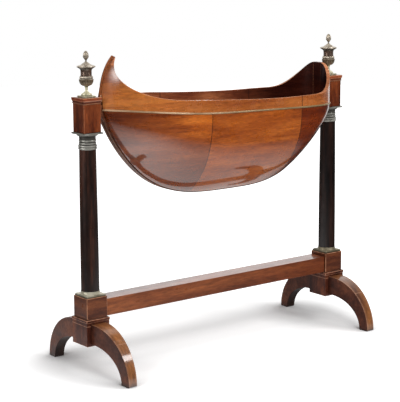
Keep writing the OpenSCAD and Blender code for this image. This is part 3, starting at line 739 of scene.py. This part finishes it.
def hull_lines(tree, colour):
    """The bow dark along the stem, painted shade low down, lighter by the seam, and the red
    stern
    """
    x, y, z = axes(tree)
    bow = calc(tree, "LESS_THAN", x, SEAMS[0])
    # darker along the stem, and painted shade low down on the bow
    stem = calc(tree, "MAXIMUM", ramp(tree, x, -0.48, -0.24, 0.85, 0.0),
                ramp(tree, z, 0.74, 0.86, 0.75, 0.0))
    colour = tint(tree, times(tree, stem, bow), colour, (0.36, 0.26, 0.24))
    glow = times(tree, ramp(tree, x, -0.27, -0.2, 0.0, 1.0), bow)
    glow = times(tree, glow, ramp(tree, z, 0.80, 0.87, 0.0, 1.0))
    colour = tint(tree, glow, colour, (1.35, 1.45, 1.4))
    stern = ramp(tree, x, SEAMS[1] - 0.001, SEAMS[1] + 0.001, 0.0, 1.0)
    return seam_lines(tree, tint(tree, stern, colour, (0.5, 0.33, 0.3)))


def inside_lines(tree, colour):
    """Painted shade: deep brown at the stern, where no light gets in, and the seams"""
    x, y, z = axes(tree)
    # painted shade deep in the stern
    deep = ramp(tree, x, 0.10, 0.40, 0.0, 0.98)
    return seam_lines(tree, tint(tree, deep, colour, (0.1, 0.05, 0.07)))


hull_wood = wood("hull_mahogany", ((108, 44, 12), (154, 74, 20), (186, 100, 32)),
                 (0.1, 0.1, 1), 30, streak=0.4, contrast=0.75, lines=hull_lines, coat_ior=1.8,
                 rough=0.3, corner=0.007)
inside_wood = wood("inside_mahogany", ((76, 32, 20), (122, 62, 38), (160, 94, 58)),
                   (0.16, 0.16, 1), 15, contrast=1.2, shine=0.12, coat=0.1, coat_rough=0.15,
                   lines=inside_lines, alone=True)
print("hull finishes:", hull_wood.name, inside_wood.name)

# %% [markdown]
# ## Two finishes on one skin
# The finishes are two material slots of the same piece. Selecting by normal would fail,
# because the sides lean both ways. So the sharp edges are marked, one face is picked by
# its place, and the selection floods from it up to those edges. This is done on the coarse
# skin, because a rounded one has no sharp edges left.

# %% Lower hull, front and back
def finish_region(thing, slot, seed, angle=40):
    """Gives a material slot to the face nearest to seed and to all faces that join it
    without crossing a sharp edge"""
    nearest = min(thing.data.polygons, key=lambda f: (f.center - Vector(seed)).length).index
    start_picking(thing, "FACE")
    bpy.ops.object.mode_set(mode="EDIT")
    bpy.ops.mesh.select_mode(type="EDGE")
    bpy.ops.mesh.edges_select_sharp(sharpness=math.radians(angle))
    bpy.ops.mesh.mark_sharp()
    bpy.ops.mesh.select_mode(type="FACE")
    bpy.ops.mesh.select_all(action="DESELECT")
    bpy.ops.object.mode_set(mode="OBJECT")
    thing.data.polygons[nearest].select = True
    bpy.ops.object.mode_set(mode="EDIT")
    bpy.ops.mesh.select_linked(delimit={"SHARP"})
    assign(thing, slot)
    found = sum(face.material_index == slot for face in thing.data.polygons)
    print(thing.name, "slot", slot, "has", found, "of", len(thing.data.polygons), "faces")


SIDES_OF_HULL = (("front", -1), ("back", 1))
for side, way in SIDES_OF_HULL:
    sources = [part + "_panel_" + side for part in ("bow", "waist", "stern")]
    skin = joined_copy("hull_skin_" + side, *sources)
    join_at_seams(skin, SEAMS)
    skin.data.materials.append(hull_wood)
    skin.data.materials.append(inside_wood)
    finish_region(skin, 1, (0.05, way * 0.14, 0.82))
    smooth_skin(skin, 2, 0.6)
    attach(skin, "cradle")
    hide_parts(*sources)

# %% [markdown]
# ## The rim and the horn
# Above the bead the wall is one tall plank that sweeps up into a horn at the prow. Outside
# it is the yellowest and glossiest wood of all, and the horn is worn to a dull grey-brown
# where hands hold it. Its top edge is bare, paler wood with no film of polish, and its paler
# colour is also a painted highlight along the edge. The edge's faces look up, so here a test
# on the normal finds them.

# %% Rim finishes
HORN_WEAR = (1.0, 1.10, 0.0, 0.85)
STEM_WEAR = (-0.500, -0.490, 1.0, 0.0)


def rim_lines(tree, colour):
    """Yellower towards the prow, grey-brown at the horn's tip, and the stern's seam"""
    x, y, z = axes(tree)
    colour = tint(tree, ramp(tree, x, 0.1, -0.35, 0.0, 0.9), colour, (1.35, 1.5, 1.3))
    horn = times(tree, ramp(tree, z, *HORN_WEAR), calc(tree, "LESS_THAN", x, 0))
    return seam_lines(tree, tint(tree, horn, colour, (0.42, 0.42, 0.75)), SEAMS[1:])


def worn_stem(tree):
    """The narrow strip of the horn beside the block, where the polish is rubbed off"""
    x, y, z = axes(tree)
    return ramp(tree, x, *STEM_WEAR)


rim_wood = wood("rim_mahogany", ((124, 56, 22), (152, 80, 32), (178, 102, 44)), (0.1, 0.1, 1),
                22, lines=rim_lines, shine=0.9, coat_ior=1.7, coat_rough=0.13, rough=0.24,
                alone=True, dull=worn_stem)
# paler colour: bare wood, and a painted highlight along the rim's top edge
rim_edge = wood("rim_edge_mahogany", ((144, 88, 60), (180, 118, 84), (204, 144, 108)),
                (0.16, 0.16, 1), 15, shine=0.02, coat=0.0, rough=0.6, alone=True)
print("rim finishes:", rim_wood.name, rim_edge.name)

# %% Gunwales
for side, way in SIDES_OF_HULL:
    sources = ["gunwale_" + side, "stern_gunwale_" + side]
    rim = joined_copy("rim_skin_" + side, *sources)
    join_at_seams(rim, SEAMS[1:])
    for finish in (rim_edge, inside_wood, rim_wood):
        rim.data.materials.append(finish)
    finish_region(rim, 1, (0.05, way * 0.155, 0.93))
    finish_region(rim, 2, (0.05, way * 0.168, 0.93))
    print("faces of the rim's edge:", select_faces(rim, lambda centre, normal: normal.z > 0.5))
    assign(rim, 0)
    smooth_skin(rim, 2, 0.5)
    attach(rim, "cradle")
    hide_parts(*sources)

# %% [markdown]
# ## Bead
# A half-round brass bead hides the joint under the rim. It is rubbed bright near the prow
# and turns a dull olive towards the stern. As it is only a few millimetres high, it is made
# a little fuller than its solid, so that it still catches the light from a step away.

# %% Bead
BEAD_FULLER = 0.0008


def bead_bands(tree, colour):
    """Rubbed bright near the prow, dull olive towards the stern"""
    x, y, z = axes(tree)
    return mix(tree, ramp(tree, x, -0.25, 0.25, 0.0, 0.7), colour, rgb(118, 104, 66))


bead_metal = brass("bead_brass", (206, 172, 136), (160, 130, 98), (48, 30, 18), 12,
                   shine=(0.35, 0.45), metal=0.4, bands=bead_bands)
for side in ("front", "back"):
    bead = joined_copy("bead_line_" + side, "bead_" + side)
    bead.data.materials.append(bead_metal)
    smooth_skin(bead, 1, 1.0, 50)
    bpy.ops.object.mode_set(mode="EDIT")
    bpy.ops.mesh.select_all(action="SELECT")
    bpy.ops.transform.shrink_fatten(value=BEAD_FULLER)
    bpy.ops.object.mode_set(mode="OBJECT")
    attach(bead, "cradle")
    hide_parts("bead_" + side)

# %% [markdown]
# ## Keel band
# The keel band is a dark moulded lath that runs down the prow, along the keel and up the
# stern, between two grooves, which are painted dark as painted shade. Two fine light strings
# run along each half of it. They follow the lath's length, so their distance from the middle
# plane is all that the recipe needs.

# %% Keel band
GROOVE = (0.0128, 0.0150)
STRINGS = ((0.0062, 0.0076), (0.0112, 0.0124))


def band_lines(tree, colour):
    """Warmer at the prow, painted shade in each edge's groove, and two light strings beside it
    """
    x, y, z = axes(tree)
    across = calc(tree, "ABSOLUTE", y)
    prow = times(tree, ramp(tree, z, 0.93, 1.0, 0.0, 0.8), calc(tree, "LESS_THAN", x, 0))
    colour = mix(tree, prow, colour, rgb(146, 84, 48))
    # painted shade in the grooves
    colour = band_between(tree, colour, across, *GROOVE, 0.8, WAX_AND_SHADE)
    for string in STRINGS:
        colour = band_between(tree, colour, across, *string, 0.7, rgb(208, 160, 126))
    return colour


band_wood = wood("band_mahogany", ((64, 32, 22), (94, 52, 36), (124, 76, 54)), (0.3, 1, 0.3),
                 20, shine=0.12, lines=band_lines, coat=0.08, coat_ior=1.5, alone=True)
band = joined_copy("keel_lath", "keel_band")
band.data.materials.append(band_wood)
band.data.materials.append(inside_wood)
finish_region(band, 1, (0.05, 0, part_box("keel_band")[0].z + 0.02))
smooth_skin(band, 2, 0.7)
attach(band, "cradle")
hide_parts("keel_band")

# %% [markdown]
# ## Legs
# The legs are copied too, because their edges have been worn round over the years and a
# worn edge catches the light. A Bevel modifier planes a narrow strip off every real edge.
# The top of a leg, its crown, is veneered and polished, with a string along each edge and a
# pale band right at the edge, worn wood with a painted highlight. Its sides are plainer and
# duller, the feet darker near the floor, and the hollow under the arch is rough and painted
# almost black, as painted shade.

# %% Leg finishes
LEG_START = 0.0485
LEG_HALF_WIDTH = 0.0315
LEG_NARROWS = 0.014 / 0.2125
CROSS_STRING = (0.1425, 0.1440)
INNER_STRING = (0.0040, 0.0054)
WORN_EDGE_HIGHLIGHT = 0.0016


def feet_darker_near_floor(tree, colour):
    """Feet are darker near the floor"""
    x, y, z = axes(tree)
    ragged = calc(tree, "ADD", z, times(tree, noise(tree, coordinates(tree), 60, 3), 0.01))
    return mix(tree, ramp(tree, ragged, 0.006, 0.024, 0.85, 0.0), colour, rgb(30, 20, 16))


def crown_strings(tree, colour):
    """Strings along the crown's edges, which run together towards the foot, one across, and a
    pale band at each edge, worn wood with a painted highlight
    """
    x, y, z = axes(tree)
    from_axis = off(tree, calc(tree, "ABSOLUTE", x), post_x)
    out = calc(tree, "SUBTRACT", calc(tree, "ABSOLUTE", y), LEG_START)
    edge = calc(tree, "SUBTRACT", LEG_HALF_WIDTH, times(tree, out, LEG_NARROWS))
    inset = calc(tree, "SUBTRACT", edge, from_axis)
    mask = calc(tree, "MAXIMUM", between(tree, inset, *INNER_STRING),
                between(tree, out, *CROSS_STRING))
    # pale band right at each edge: worn wood and a painted highlight
    mask = calc(tree, "MAXIMUM", mask, calc(tree, "LESS_THAN", inset, WORN_EDGE_HIGHLIGHT))
    patchy = ramp(tree, noise(tree, coordinates(tree), 50, 3), 0.35, 0.6, 0.3, 0.9)
    return feet_darker_near_floor(tree, mix(tree, times(tree, mask, patchy), colour, rgb(164, 122, 96)))


crown_wood = wood("crown_mahogany", ((80, 44, 25), (118, 72, 40), (152, 98, 55)),
                  (1, 0.3, 0.3), 18, contrast=1.2, lines=crown_strings, coat=0.8,
                  coat_rough=0.13)
side_wood = wood("leg_side_mahogany", ((44, 20, 14), (74, 38, 26), (104, 58, 38)),
                 (1, 0.35, 0.35), 18, contrast=1.2, lines=feet_darker_near_floor, shine=0.12, coat=0.04,
                 coat_rough=0.2, coat_ior=1.5, rough=0.45)
# painted shade: the faces under the arch are painted almost black
under_arch_shade = wood("under_arch_painted_shade", ((18, 11, 9), (32, 19, 15), (50, 30, 22)),
                   (1, 0.35, 0.35), 18, shine=0.1, coat=0.0, rough=0.6)
print("leg finishes:", crown_wood.name, side_wood.name, under_arch_shade.name)

# %% Legs
ARCH_MIDDLE = 0.062


def eased_copy(name, source, finishes, ease):
    """A copy with its edges eased by a bevel; finishes is a list of a material and a test of
    the faces that get it, and the first one covers what is left"""
    thing = joined_copy(name, source)
    for index, (material, test) in enumerate(finishes):
        thing.data.materials.append(material)
        select_faces(thing, test)
        assign(thing, index)
    bevel = thing.modifiers.new("worn edges", "BEVEL")
    bevel.width = ease
    bevel.segments = 2
    bevel.limit_method = "ANGLE"
    bevel.angle_limit = math.radians(40)
    bpy.ops.object.modifier_apply(modifier="worn edges")
    bpy.ops.object.shade_smooth_by_angle(angle=math.radians(15))
    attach(thing, "stand")
    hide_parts(source)
    print(name, "faces:", len(thing.data.polygons))


def faces_out(centre, normal):
    """How far a face of a leg looks away from the middle of the arch, below 0 when under it"""
    arch = ARCH_MIDDLE * (-1 if centre.y < 0 else 1)
    if abs(normal.x) > 0.5:
        return 0
    return normal.y * (centre.y - arch) + normal.z * centre.z


leg_finishes = ((side_wood, lambda centre, normal: True),
                (crown_wood, lambda centre, normal: faces_out(centre, normal) > 0.02),
                (under_arch_shade, lambda centre, normal: faces_out(centre, normal) < -0.01))
for way in ("front", "back"):
    for side in ("left", "right"):
        eased_copy(f"arched_leg_{way}_{side}", f"{way}_leg_{side}", leg_finishes, 0.0012)

# %% [markdown]
# ## Stretcher
# The stretcher is one straight rail. Its top is well polished and mirrors the backdrop, and
# its colour is painted a little lighter than the front's, as painted light. Its front is
# duller, and painted shade makes it deeper and redder towards the stern. Both are veneers
# with the grain along X, so the figure is squeezed along X only.

# %% Stretcher
# painted shade on the rail's front towards the stern
def rail_painted_shade(tree, colour):
    """Painted shade: the rail's front is deeper and redder towards the stern"""
    x, y, z = axes(tree)
    return tint(tree, ramp(tree, x, -0.3, 0.53, 0.0, 0.9), colour, (0.6, 0.48, 0.45))


# painted light: the top's colour is lighter than the front's
rail_top_lit = wood("rail_top_mahogany", ((96, 48, 30), (140, 76, 48), (176, 104, 66)),
                (0.14, 1, 1), 14)
rail_front = wood("rail_mahogany", ((84, 40, 22), (122, 64, 34), (152, 86, 46)),
                  (0.12, 1, 1), 14, shine=0.2, coat=0.15, coat_rough=0.12, coat_ior=1.5,
                  lines=rail_painted_shade)
rail_finishes = ((rail_front, lambda centre, normal: True),
                 (rail_top_lit, lambda centre, normal: normal.z > 0.7))
eased_copy("stretcher_rail", "stretcher", rail_finishes, 0.0015)

# %% [markdown]
# ## Urns
# The finials are little vases of cast and chased bronze. Everything on them is turned or
# repeats round an axis, so each is drawn as a profile: a disc is extruded ring by ring up
# that profile. Then vertices are pulled in towards the axis, column by column, and the
# valleys between them leave round lobes. That needs a number of columns that the number of
# lobes divides.

# %% Turning
COLUMNS = 96


def turn(name, centre, profile):
    """profile is a list of radius and height, from the bottom up"""
    deselect()
    radius, height = profile[0]
    bpy.ops.mesh.primitive_circle_add(vertices=COLUMNS, radius=radius, fill_type="NGON",
                                      location=(centre, 0, height))
    thing = bpy.context.object
    thing.name = name
    bpy.ops.object.transform_apply(location=True)
    bpy.ops.object.mode_set(mode="EDIT")
    bpy.ops.mesh.select_mode(type="VERT")
    bpy.ops.mesh.select_all(action="SELECT")
    for wider, higher in profile[1:]:
        rise = (0, 0, higher - height)
        bpy.ops.mesh.extrude_region_move(TRANSFORM_OT_translate={"value": rise})
        bpy.ops.transform.resize(value=(wider / radius, wider / radius, 1),
                                 center_override=(centre, 0, higher))
        radius, height = wider, higher
    bpy.ops.mesh.select_all(action="SELECT")
    bpy.ops.mesh.normals_make_consistent(inside=False)
    bpy.ops.object.mode_set(mode="OBJECT")
    return thing


def column(place, centre, shift=0.0):
    """The number of the column of vertices that a place is in"""
    return round(math.atan2(place.y, place.x - centre) / (2 * math.pi) * COLUMNS - shift)


def lobes(thing, centre, low, high, count, depth):
    """Pulls in the columns of vertices between lobes, from one height to another"""
    every = COLUMNS // count
    for phase in range(every):
        shrink = 1 - depth * (1 - math.sin(math.pi * phase / every))
        select_vertices(thing, lambda place: low < place.z < high
                        and column(place, centre) % every == phase)
        bpy.ops.transform.resize(value=(shrink, shrink, 1), center_override=(centre, 0, low))
    bpy.ops.object.mode_set(mode="OBJECT")


def oval(centre_r, centre_z, wide, high, start, stop, steps):
    """Points on a part of an oval, between two angles, as part of a profile"""
    angles = [math.radians(start + (stop - start) * k / steps) for k in range(steps + 1)]
    return [(centre_r + wide * math.cos(a), centre_z + high * math.sin(a)) for a in angles]


# %% [markdown]
# ## The urns' profiles
# The heights start from the construction model's urn: the bottom of its bowl and its lip.
# The bowl is half an oval under a ring and a beaded moulding. Above it stands a straight
# neck that flares into a wide lip. The lid is a low dome with a thin stalk, and a bud like
# a pine cone stands in a cup on top.

# %% Profiles
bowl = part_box("urn_body_right")[0].z
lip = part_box("urn_body_right")[1].z
bowl_top = bowl + 0.0231
ring_top = bowl_top + 0.0119
waist = lip + 0.0189

vase_profile = (
    [(0.0062, bowl)] + oval(0.0065, bowl_top - 0.002, 0.0189, 0.0211, -80, 0, 9)
    + [(0.0259, bowl_top - 0.001), (0.0259, bowl_top + 0.001), (0.0251, bowl_top + 0.002),
       (0.0233, bowl_top + 0.003)]
    + oval(0.0219, (bowl_top + 0.003 + ring_top) / 2, 0.002, 0.00445, -80, 80, 6)
    + [(0.0212, ring_top + 0.0008), (0.0196, ring_top + 0.003), (0.0196, lip - 0.017),
       (0.0202, lip - 0.0129), (0.0222, lip - 0.0095), (0.0266, lip - 0.0065),
       (0.0325, lip - 0.0031), (0.0333, lip - 0.0019), (0.0333, lip - 0.0008), (0.0325, lip)])
lid_profile = [
    (0.0318, lip), (0.0313, lip + 0.0012), (0.0243, lip + 0.0032), (0.0188, lip + 0.0046),
    (0.0173, lip + 0.006), (0.0133, lip + 0.009), (0.0078, lip + 0.013),
    (0.0036, lip + 0.0164), (0.0021, waist), (0.0045, waist + 0.0045),
    (0.0062, waist + 0.0067), (0.0088, waist + 0.0102), (0.0106, waist + 0.0140),
    (0.0109, waist + 0.0158), (0.0098, waist + 0.0163), (0.0100, waist + 0.0185),
    (0.0098, waist + 0.0212), (0.0093, waist + 0.0240), (0.0080, waist + 0.0277),
    (0.0061, waist + 0.0311), (0.0035, waist + 0.0339), (0.0008, waist + 0.0351)]
print("an urn is", round(lid_profile[-1][1] - bowl, 4), "m high above its foot")

# %% [markdown]
# ## The urns' bronze
# Bands by height part the urn: old gold on the bowl, dark brown round the neck, painted
# shade under the lip, and a grey cup under the bud. One brass with bands by height does this
# for both castings.

# %% Urn bronze
# from this height, to this height, how strongly, and the colour
URN_BANDS = ((ring_top + 0.0005, lip - 0.0125, 0.85, (98, 70, 58)),
             # painted shade under the flaring lip
             (lip - 0.0125, lip - 0.0022, 0.85, (62, 58, 50)),
             (bowl, bowl_top + 0.0015, 0.75, (116, 96, 66)),
             (lip + 0.0170, lip + 0.0300, 0.7, (96, 88, 76)))


def urn_bands(tree, colour):
    x, y, z = axes(tree)
    for low, high, strength, shade in URN_BANDS:
        colour = band_between(tree, colour, z, low, high, strength, rgb(*shade))
    return colour


urn_metal = brass("urn_bronze", (226, 214, 196), (172, 158, 138), (22, 16, 13), 90,
                  shine=(0.28, 0.4), depth=0.009, metal=0.72, bands=urn_bands)
print("bands on an urn:", len(URN_BANDS))

# %% [markdown]
# ## Vase, lid and bud
# The bowl, the ring and the lip get lobes of three sizes, and so do the lid, the cup and
# the bud. Sunk panels are pressed into the straight neck by an inset of its faces, with
# ribs left between them.

# %% Vase and lid
# from this height, to this height, how many lobes, and how deep
VASE_LOBES = ((bowl + 0.003, bowl_top - 0.0015, 16, 0.10),
              (bowl_top + 0.0035, ring_top - 0.0005, 32, 0.05),
              (lip - 0.008, lip - 0.0005, 24, 0.03))
LID_LOBES = ((lip + 0.0015, lip + 0.0155, 12, 0.09),
             (waist + 0.005, waist + 0.0160, 8, 0.12),
             (waist + 0.0162, waist + 0.0330, 12, 0.07))
PANEL_COLUMNS = 8
PANEL_BORDER, PANEL_DEPTH = 0.0005, 0.0007


def in_a_panel(centre, place, normal):
    """Whether a face of the neck lies in a sunk panel, and not on the rib beside it"""
    on_neck = ring_top + 0.003 < place.z < lip - 0.017 and abs(normal.z) < 0.2
    return on_neck and column(place, centre, 0.5) % PANEL_COLUMNS not in (0, PANEL_COLUMNS - 1)


for side, way in (("left", -1), ("right", 1)):
    centre = way * post_x
    vase = turn("urn_vase_" + side, centre, vase_profile)
    for ring in VASE_LOBES:
        lobes(vase, centre, *ring)
    select_faces(vase, lambda place, normal: in_a_panel(centre, place, normal))
    bpy.ops.mesh.inset(thickness=PANEL_BORDER, depth=-PANEL_DEPTH)
    bpy.ops.object.mode_set(mode="OBJECT")
    bud = turn("urn_bud_" + side, centre, lid_profile)
    for ring in LID_LOBES:
        lobes(bud, centre, *ring)
    for thing, node in ((vase, "urn_body_" + side), (bud, "urn_lid_" + side)):
        thing.data.materials.append(urn_metal)
        deselect()
        thing.select_set(True)
        bpy.context.view_layer.objects.active = thing
        bpy.ops.object.shade_smooth_by_angle(angle=math.radians(38))
        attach(thing, "stand")
        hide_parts(node)
        print(thing.name, "faces:", len(thing.data.polygons))

# %% [markdown]
# ## Finish
# The selection is cleared at the end, so that nothing is left selected.

# %% Clear the selection
deselect()
